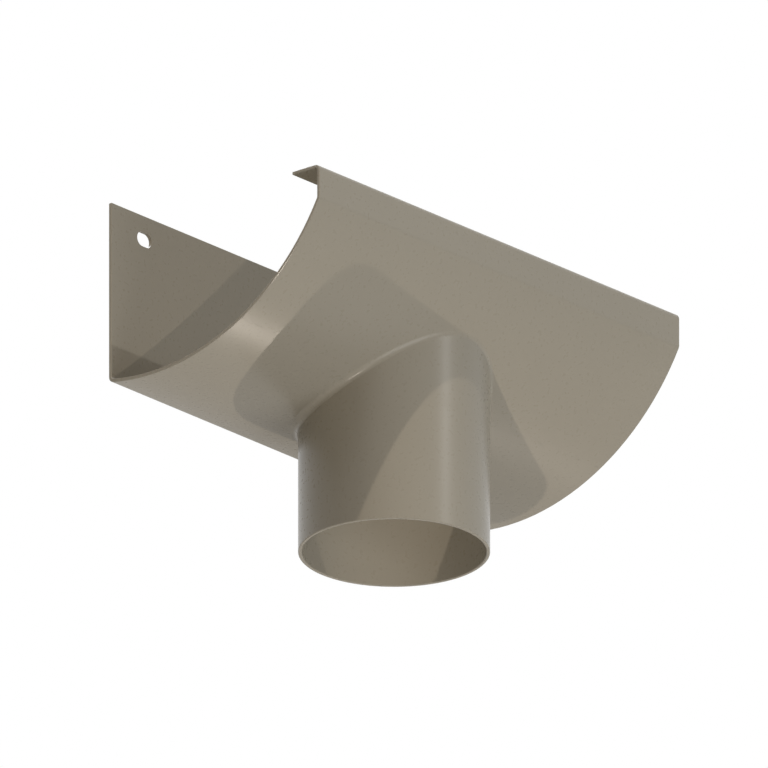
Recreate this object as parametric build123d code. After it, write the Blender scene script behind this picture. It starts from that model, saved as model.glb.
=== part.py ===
from build123d import *
from math import sqrt
import os

# Gutter outlet, cast in one piece: a short length of trough, open at both ends,
# with a round spout that drops from the middle of its belly into a downpipe.
#
# Millimetres. X runs along the gutter, +Y points to the building, +Z is up.
# The origin is on the spout's axis, in the plane of its lower rim.

# The trough, all sizes taken on the outside
trough_length = 250.0  # along the run of the gutter
trough_width = 126.0  # from the front face to the back face
back_height = 89.5  # from the lowest point of the belly to the back's top edge
front_height = 77.2  # from the lowest point of the belly to the top of the lip
band_height = 16.4  # the upright band at the front, down to where the belly starts
lip_width = 16.4  # how far the lip reaches in from the front face
belly_radius = 115.3  # the big curve of the belly
bend_radius = 3.0  # the tight bends at the lip, the band's foot and the back's foot
wall = 1.6  # the same all over, spout too

# The spout
spout_diameter = 87.0  # outside
spout_drop = 59.5  # from the lowest point of the belly to the rim
root_radius = 3.0  # where the spout's outside grows out of the belly
root_draft = 0.5  # degrees; the casting's draft on the spout's outside, above the pipe's seat
seat_gap = 0.5  # between the root's rounding and the seat, where a pipe's socket stops

# The fixing slots through the back wall, one near each end
slot_length = 10.0  # along the gutter
slot_height = 7.0
slot_from_end = 23.0  # from the slot's middle to the end of the trough
slot_from_top = 11.5  # from the slot's middle to the back's top edge

# Edges are softened, so that the paint holds on them
long_edge_radius = 0.4  # the back's top edge and the lip's free edge
cut_edge_bevel = 0.3  # both ends of the trough and the spout's rim, cut square after casting

# Heights above the spout's rim
belly_z = spout_drop
back_top_z = belly_z + back_height
front_top_z = belly_z + front_height
band_foot_z = front_top_z - band_height
belly_centre_z = belly_z + belly_radius
seat_z = belly_z - root_radius - seat_gap

# Places across the trough, with the spout's axis at its mid-width
back_y = trough_width / 2
front_y = -trough_width / 2
lip_tip_y = front_y + lip_width


def belly_leg(other_leg):
    """One leg of the right triangle under the belly's radius, from the other leg."""
    return sqrt(belly_radius**2 - other_leg**2)


# The belly's circle goes through the foot of the front band
belly_centre_y = front_y + belly_leg(belly_centre_z - band_foot_z)
back_foot_z = belly_centre_z - belly_leg(back_y - belly_centre_y)

# The section is drawn as (across, up) points
back_top = (back_y, back_top_z)
back_foot = (back_y, back_foot_z)
belly_low = (belly_centre_y, belly_z)
band_foot = (front_y, band_foot_z)
front_top = (front_y, front_top_z)
lip_tip = (lip_tip_y, front_top_z)

# The spout's inside, and the rounding that keeps the wall even round its root
bore_radius = spout_diameter / 2 - wall
mouth_radius = root_radius + wall


def at_free_edge(corner):
    """True where the section's wall stops: at the back's top and at the lip's tip."""
    touching = wall / 100
    at_back_top = abs(corner.Y - back_top_z) < touching
    at_lip_tip = abs(corner.X - lip_tip_y) < touching
    return at_back_top or at_lip_tip


def make_trough():
    """The bent wall: its outside line, thickened inwards and run from end to end."""
    with BuildPart() as trough:
        with BuildSketch(Plane.YZ) as section:
            with BuildLine() as outside:
                Line(back_top, back_foot)
                ThreePointArc(back_foot, belly_low, band_foot)
                Polyline(band_foot, front_top, lip_tip)
                bends = outside.vertices().filter_by(at_free_edge, reverse=True)
                fillet(bends, bend_radius)
                offset(amount=wall, side=Side.LEFT)
            make_face()
            fillet(section.vertices().filter_by(at_free_edge), long_edge_radius)
        extrude(amount=trough_length / 2, both=True)
        chamfer(trough.faces().filter_by(Axis.X).edges(), cut_edge_bevel)
    return trough.part


def add_spout(trough):
    """The round spout, up to the belly, bored through and blended inside and out."""
    seat = Plane.XY.offset(seat_z)
    with BuildPart() as body:
        add(trough)
        with BuildSketch(seat):
            Circle(spout_diameter / 2)
        extrude(until=Until.NEXT)
        round_walls = body.faces(Select.LAST).filter_by(GeomType.CYLINDER)
        draft(round_walls.sort_by(SortBy.RADIUS)[0], seat, -root_draft)
        root = body.edges().filter_by(GeomType.BSPLINE)
        fillet(root, root_radius)

        with BuildSketch(seat):
            Circle(spout_diameter / 2)
        extrude(amount=-seat_z)

        with BuildSketch():
            Circle(bore_radius)
        extrude(amount=band_foot_z, mode=Mode.SUBTRACT)
        mouth = body.edges(Select.LAST).filter_by(GeomType.BSPLINE)
        fillet(mouth, mouth_radius)

        rim = body.edges().filter_by(GeomType.CIRCLE).group_by(Axis.Z)[0]
        chamfer(rim, cut_edge_bevel)
    return body.part


def cut_fixing_slots(body):
    """A slot near each end of the back, long along the gutter to let it creep."""
    back_face = Plane(
        origin=(0, back_y, back_top_z - slot_from_top), x_dir=(1, 0, 0), z_dir=(0, -1, 0)
    )
    slot_spacing = trough_length - 2 * slot_from_end
    with BuildPart() as slotted:
        add(body)
        with BuildSketch(back_face):
            with GridLocations(slot_spacing, 0, 2, 1):
                SlotOverall(slot_length, slot_height)
        extrude(amount=wall, mode=Mode.SUBTRACT)
    return slotted.part


outlet_body = cut_fixing_slots(add_spout(make_trough()))

os.makedirs("parts", exist_ok=True)
export_step(outlet_body, "parts/outlet_body.step")
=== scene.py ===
from math import pi, radians

import bpy
from bpy.props import FloatProperty, FloatVectorProperty, PointerProperty
from mathutils import Euler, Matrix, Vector


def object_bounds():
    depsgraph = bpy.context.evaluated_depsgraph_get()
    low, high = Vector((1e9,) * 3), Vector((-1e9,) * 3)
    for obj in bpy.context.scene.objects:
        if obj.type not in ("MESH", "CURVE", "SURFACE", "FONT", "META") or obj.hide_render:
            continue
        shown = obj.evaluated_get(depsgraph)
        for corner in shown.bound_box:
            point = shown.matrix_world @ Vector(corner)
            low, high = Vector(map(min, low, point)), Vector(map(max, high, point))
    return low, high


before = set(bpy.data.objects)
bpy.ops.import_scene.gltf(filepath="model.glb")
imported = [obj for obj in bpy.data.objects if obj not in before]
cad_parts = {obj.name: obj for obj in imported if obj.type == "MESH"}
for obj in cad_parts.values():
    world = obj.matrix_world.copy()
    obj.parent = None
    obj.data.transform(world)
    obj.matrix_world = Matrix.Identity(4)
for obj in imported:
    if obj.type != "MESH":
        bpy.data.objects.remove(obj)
cad_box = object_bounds()

bl_info = {
    "name": "Gutter Outlet",
    "version": (1, 0, 0),
    "blender": (4, 5, 0),
    "location": "3D View > Sidebar > Gutter Outlet",
    "description": "Finishes a cast, powder-coated gutter outlet and sets it in a plain studio",
    "category": "Object",
}

MM = 0.001
WHITE = (1, 1, 1)
OUTLET_NODE = "outlet_body"

# A Mix node has sockets of the same name for each kind of value, so these go by number
MIX_SHARE, MIX_FIRST, MIX_SECOND, MIX_RESULT = 0, 6, 7, 2

# How far the orange peel takes the coat's roughness up and down
PEEL_ROUGHENS = 0.02


def linear(code):
    """The linear red, green and blue of an sRGB colour written as #rrggbb."""
    shares = [int(code[i:i + 2], 16) / 255 for i in (1, 3, 5)]
    return [s / 12.92 if s <= 0.04045 else ((s + 0.055) / 1.055) ** 2.4 for s in shares]


def add_node(tree, kind, settings=None, inputs=None, links=None):
    """A shader node with its settings, its sockets' values and what feeds its sockets."""
    node = tree.nodes.new(kind)
    for name, value in (settings or {}).items():
        setattr(node, name, value)
    for socket, value in (inputs or {}).items():
        node.inputs[socket].default_value = value
    for socket, source in (links or {}).items():
        tree.links.new(source, node.inputs[socket])
    return node


def empty_material(name):
    """A material with nothing in it but its output."""
    material = bpy.data.materials.new(name)
    material.use_nodes = True
    tree = material.node_tree
    tree.nodes.clear()
    return material, tree, add_node(tree, "ShaderNodeOutputMaterial")


def powder_coat_on_cast_aluminium(finish):
    """Polyester powder coat, sprayed on cast aluminium and baked: an even satin skin.

    The eye sees one calm taupe, a soft sheen, and a very fine orange peel where the
    melted powder has flowed.
    """
    material, tree, output = empty_material("powder_coat_taupe")
    place = add_node(tree, "ShaderNodeTexCoord").outputs["Object"]

    # The coat's depth of colour drifts a little over a hand's width
    drift = add_node(
        tree, "ShaderNodeTexNoise",
        inputs={"Scale": 1 / finish.colour_drift, "Detail": 2.0, "Roughness": 0.5},
        links={"Vector": place},
    )
    colour = add_node(
        tree, "ShaderNodeMix", {"data_type": "RGBA"},
        {MIX_FIRST: (*finish.coat_thin, 1), MIX_SECOND: (*finish.coat_full, 1)},
        {MIX_SHARE: drift.outputs["Fac"]},
    )
    # Orange peel: shallow rounded waves, with the sheen a little softer on their crests
    peel = add_node(
        tree, "ShaderNodeTexNoise",
        inputs={"Scale": 1 / finish.peel_width, "Detail": 1.0, "Roughness": 0.4},
        links={"Vector": place},
    )
    sheen = add_node(
        tree, "ShaderNodeMapRange",
        inputs={
            "To Min": finish.roughness - PEEL_ROUGHENS,
            "To Max": finish.roughness + PEEL_ROUGHENS,
        },
        links={"Value": peel.outputs["Fac"]},
    )
    waves = add_node(
        tree, "ShaderNodeBump",
        inputs={"Strength": 1.0, "Distance": finish.peel_depth},
        links={"Height": peel.outputs["Fac"]},
    )
    coat = add_node(
        tree, "ShaderNodeBsdfPrincipled",
        inputs={"IOR": 1.5, "Metallic": 0.0, "Specular IOR Level": 0.25},
        links={
            "Base Color": colour.outputs[MIX_RESULT],
            "Roughness": sheen.outputs["Result"],
            "Normal": waves.outputs["Normal"],
        },
    )
    tree.links.new(coat.outputs["BSDF"], output.inputs["Surface"])
    return material


def seen_or_mirrored(tree):
    """1 for what the camera sees directly, in a gloss or through glass, otherwise 0."""
    rays = add_node(tree, "ShaderNodeLightPath").outputs
    seen = rays["Is Camera Ray"]
    for kind in ("Is Glossy Ray", "Is Transmission Ray"):
        seen = add_node(
            tree, "ShaderNodeMath", {"operation": "MAXIMUM"}, links={0: seen, 1: rays[kind]}
        ).outputs["Value"]
    return seen


def pale_plaster(stage):
    """The studio's floor: matt painted plaster, flat to the eye.

    A glow that lights nothing lifts it to a pale tone, and the part's shadow stays on it.
    """
    material, tree, output = empty_material("floor_plaster")
    paint = add_node(
        tree, "ShaderNodeBsdfPrincipled",
        inputs={
            "Base Color": (*stage.floor_colour, 1), "Roughness": 0.9,
            "Specular IOR Level": 0.2,
        },
    )
    glow = add_node(
        tree, "ShaderNodeMath", {"operation": "MULTIPLY"}, {1: stage.floor_glow},
        {0: seen_or_mirrored(tree)},
    )
    light = add_node(
        tree, "ShaderNodeEmission", inputs={"Color": (*stage.floor_colour, 1)},
        links={"Strength": glow.outputs["Value"]},
    )
    both = add_node(
        tree, "ShaderNodeAddShader",
        links={0: paint.outputs["BSDF"], 1: light.outputs["Emission"]},
    )
    tree.links.new(both.outputs["Shader"], output.inputs["Surface"])
    return material


class OutletFinish(bpy.types.PropertyGroup):
    """The powder coat's colours and surface."""

    coat_full: FloatVectorProperty(
        name="Full coat", description="Colour where the powder lies thickest",
        subtype="COLOR", size=3, min=0, max=1, default=linear("#928c7e"),
    )
    coat_thin: FloatVectorProperty(
        name="Thin coat", description="Colour where the powder lies thinnest",
        subtype="COLOR", size=3, min=0, max=1, default=linear("#8e887a"),
    )
    colour_drift: FloatProperty(
        name="Colour drift", description="How far apart thick and thin coat lie",
        unit="LENGTH", default=70 * MM,
    )
    peel_width: FloatProperty(
        name="Orange peel width", description="How far apart the peel's waves are",
        unit="LENGTH", default=1.8 * MM,
    )
    peel_depth: FloatProperty(
        name="Orange peel depth", description="How deep the peel's waves are",
        unit="LENGTH", default=0.002 * MM, precision=6,
    )
    roughness: FloatProperty(
        name="Roughness", description="How soft the satin sheen is",
        default=0.28, min=0, max=1,
    )


class OutletStage(bpy.types.PropertyGroup):
    """The camera, the lamps and the floor."""

    camera_turn: FloatProperty(
        name="Camera turn", description="Round the part, from its front",
        subtype="ANGLE", default=radians(-49.27),
    )
    camera_rise: FloatProperty(
        name="Camera rise", description="Above the horizon, or below it when negative",
        subtype="ANGLE", default=radians(-21.07),
    )
    frame_width: FloatProperty(
        name="Frame width", description="What the picture takes in from side to side",
        unit="LENGTH", default=347.83 * MM,
    )
    aim_right: FloatProperty(
        name="Aim right", description="The picture's middle, to the right of the spout's rim",
        unit="LENGTH", default=-4.58 * MM,
    )
    aim_up: FloatProperty(
        name="Aim up", description="The picture's middle, above the spout's rim",
        unit="LENGTH", default=76.36 * MM,
    )
    camera_distance: FloatProperty(
        name="Camera distance", description="From the picture's middle to the camera",
        unit="LENGTH", default=0.5,
    )
    floor_drop: FloatProperty(
        name="Floor drop", description="How far the floor lies under the spout's rim",
        unit="LENGTH", default=3.2,
    )
    floor_colour: FloatVectorProperty(
        name="Floor colour", description="The floor's paint",
        subtype="COLOR", size=3, min=0, max=1, default=linear("#e9e8e5"),
    )
    floor_width: FloatProperty(
        name="Floor width", description="Each side of the floor",
        unit="LENGTH", default=60.0,
    )
    floor_glow: FloatProperty(
        name="Floor glow", description="How much the floor is lifted where it is seen",
        default=0.72, min=0, max=1,
    )
    far_distance: FloatProperty(
        name="Far distance", description="From the part's middle to most lamps",
        unit="LENGTH", default=2.4,
    )
    near_distance: FloatProperty(
        name="Near distance", description="From the part's middle to the low right lamp",
        unit="LENGTH", default=1.37,
    )
    lamp_spread: FloatProperty(
        name="Lamp spread", description="A small lamp's width over its distance",
        default=0.012, min=0,
    )
    panel_spread: FloatProperty(
        name="Panel spread", description="A wide panel's width over its distance",
        default=0.8, min=0,
    )
    warm_light: FloatVectorProperty(
        name="Warm light", description="Colour of the key lamp and the low small lamps",
        subtype="COLOR", size=3, min=0, max=1, default=linear("#fff3e6"),
    )
    cool_light: FloatVectorProperty(
        name="Cool light", description="Colour of the wide panels",
        subtype="COLOR", size=3, min=0, max=1, default=linear("#f5f8ff"),
    )
    daylight: FloatProperty(
        name="Daylight", description="Even light from all round, 1 being full",
        default=0.13, min=0,
    )


class OBJECT_OT_outlet_body(bpy.types.Operator):
    """Gives the cast body its powder coat"""

    bl_idname = "object.gutter_outlet_body"
    bl_label = "Outlet Body"
    bl_options = {"REGISTER", "UNDO"}

    def execute(self, context):
        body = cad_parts[OUTLET_NODE]
        coat = powder_coat_on_cast_aluminium(context.scene.outlet_finish)
        for slot in body.material_slots:
            slot.material = coat
        return {"FINISHED"}


def direction(turn, rise):
    """The way from the part to a lamp or camera: its front's way, turned and raised."""
    front = Vector((0, -1, 0))
    return Euler((-rise, 0, turn)).to_matrix() @ front


def part_middle():
    """The middle of the box that the CAD part fills."""
    low, high = cad_box
    return (Vector(low) + Vector(high)) / 2


def add_lamp(name, turn, rise, distance, spread, level, colour=WHITE):
    """A soft round lamp aimed at the part, with its turn and rise in degrees.

    Spread is its width over its distance. A level of 1 lights a facing surface fully.
    """
    bpy.ops.object.light_add(type="AREA")
    lamp = bpy.context.object
    lamp.name = name
    towards = direction(radians(turn), radians(rise))
    lamp.location = part_middle() + towards * distance
    lamp.rotation_euler = towards.to_track_quat("Z", "Y").to_euler()
    lamp.data.shape = "DISK"
    lamp.data.size = distance * spread
    lamp.data.color = colour
    lamp.data.energy = level * pi ** 2 * distance ** 2
    lamp.visible_camera = False


def add_lamps(stage):
    """Small lamps shape the part, and wide panels fill in from below, above and behind.

    The low right lamp stands nearer, so that its sheen fades along the belly.
    """
    far = {"distance": stage.far_distance, "spread": stage.lamp_spread}
    near = {"distance": stage.near_distance, "spread": stage.lamp_spread}
    panel = {"distance": stage.far_distance, "spread": stage.panel_spread}
    warm, cool = stage.warm_light, stage.cool_light
    add_lamp("key_lamp", turn=-58.8, rise=50, **far, level=0.34, colour=warm)
    add_lamp("sheen_lamp", turn=17.1, rise=27.4, **far, level=0.2)
    add_lamp("low_right_lamp", turn=93.2, rise=-55.2, **near, level=0.236, colour=warm)
    add_lamp("low_left_lamp", turn=-64.5, rise=-37.2, **far, level=0.315, colour=warm)
    add_lamp("low_front_panel", turn=5, rise=-33, **panel, level=0.52, colour=cool)
    add_lamp("overhead_panel", turn=0, rise=88, **panel, level=0.3, colour=cool)
    add_lamp("rear_panel", turn=170, rise=48, **panel, level=0.7, colour=cool)


def add_camera(stage):
    """A camera with parallel lines of sight, at the photograph's angle."""
    back = direction(stage.camera_turn, stage.camera_rise)
    turned = back.to_track_quat("Z", "Y")
    right = turned @ Vector((1, 0, 0))
    up = turned @ Vector((0, 1, 0))
    middle = right * stage.aim_right + up * stage.aim_up
    bpy.ops.object.camera_add(
        location=middle + back * stage.camera_distance, rotation=turned.to_euler()
    )
    camera = bpy.context.object
    camera.name = "camera"
    camera.data.type = "ORTHO"
    camera.data.ortho_scale = stage.frame_width
    bpy.context.scene.camera = camera


def add_floor(stage):
    """A wide plain floor, well under the part, which hangs as it does on a wall."""
    bpy.ops.mesh.primitive_plane_add(
        size=stage.floor_width, location=(0, 0, -stage.floor_drop)
    )
    floor = bpy.context.object
    floor.name = "floor"
    floor.data.materials.append(pale_plaster(stage))


def light_the_world(stage):
    """Even light on the part, and plain white where the camera or a gloss looks past it."""
    world = bpy.data.worlds.new("studio")
    world.use_nodes = True
    bpy.context.scene.world = world
    tree = world.node_tree
    tree.nodes.clear()
    strength = add_node(
        tree, "ShaderNodeMapRange",
        inputs={"To Min": stage.daylight, "To Max": 1.0},
        links={"Value": seen_or_mirrored(tree)},
    )
    sky = add_node(
        tree, "ShaderNodeBackground", inputs={"Color": (*WHITE, 1)},
        links={"Strength": strength.outputs["Result"]},
    )
    output = add_node(tree, "ShaderNodeOutputWorld")
    tree.links.new(sky.outputs["Background"], output.inputs["Surface"])


class SCENE_OT_outlet_stage(bpy.types.Operator):
    """Sets up the floor, the lamps and the camera"""

    bl_idname = "scene.gutter_outlet_stage"
    bl_label = "Studio Stage"
    bl_options = {"REGISTER", "UNDO"}

    def execute(self, context):
        stage = context.scene.outlet_stage
        add_floor(stage)
        light_the_world(stage)
        add_lamps(stage)
        add_camera(stage)
        context.scene.view_settings.view_transform = "Standard"
        return {"FINISHED"}


class VIEW3D_PT_outlet(bpy.types.Panel):
    """Lists the outlet's steps and settings"""

    bl_label = "Gutter Outlet"
    bl_idname = "VIEW3D_PT_gutter_outlet"
    bl_space_type = "VIEW_3D"
    bl_region_type = "UI"
    bl_category = "Gutter Outlet"

    def draw(self, context):
        layout = self.layout
        for operator in OPERATORS:
            layout.operator(operator.bl_idname)
        for settings in (context.scene.outlet_finish, context.scene.outlet_stage):
            box = layout.box()
            for name in settings.__annotations__:
                box.prop(settings, name)


OPERATORS = (OBJECT_OT_outlet_body, SCENE_OT_outlet_stage)
CLASSES = (OutletFinish, OutletStage, *OPERATORS, VIEW3D_PT_outlet)


def register():
    for cls in CLASSES:
        bpy.utils.register_class(cls)
    bpy.types.Scene.outlet_finish = PointerProperty(type=OutletFinish)
    bpy.types.Scene.outlet_stage = PointerProperty(type=OutletStage)


def unregister():
    del bpy.types.Scene.outlet_stage
    del bpy.types.Scene.outlet_finish
    for cls in reversed(CLASSES):
        bpy.utils.unregister_class(cls)


def main():
    register()
    bpy.ops.object.gutter_outlet_body()
    bpy.ops.scene.gutter_outlet_stage()


if __name__ == "__main__":
    main()
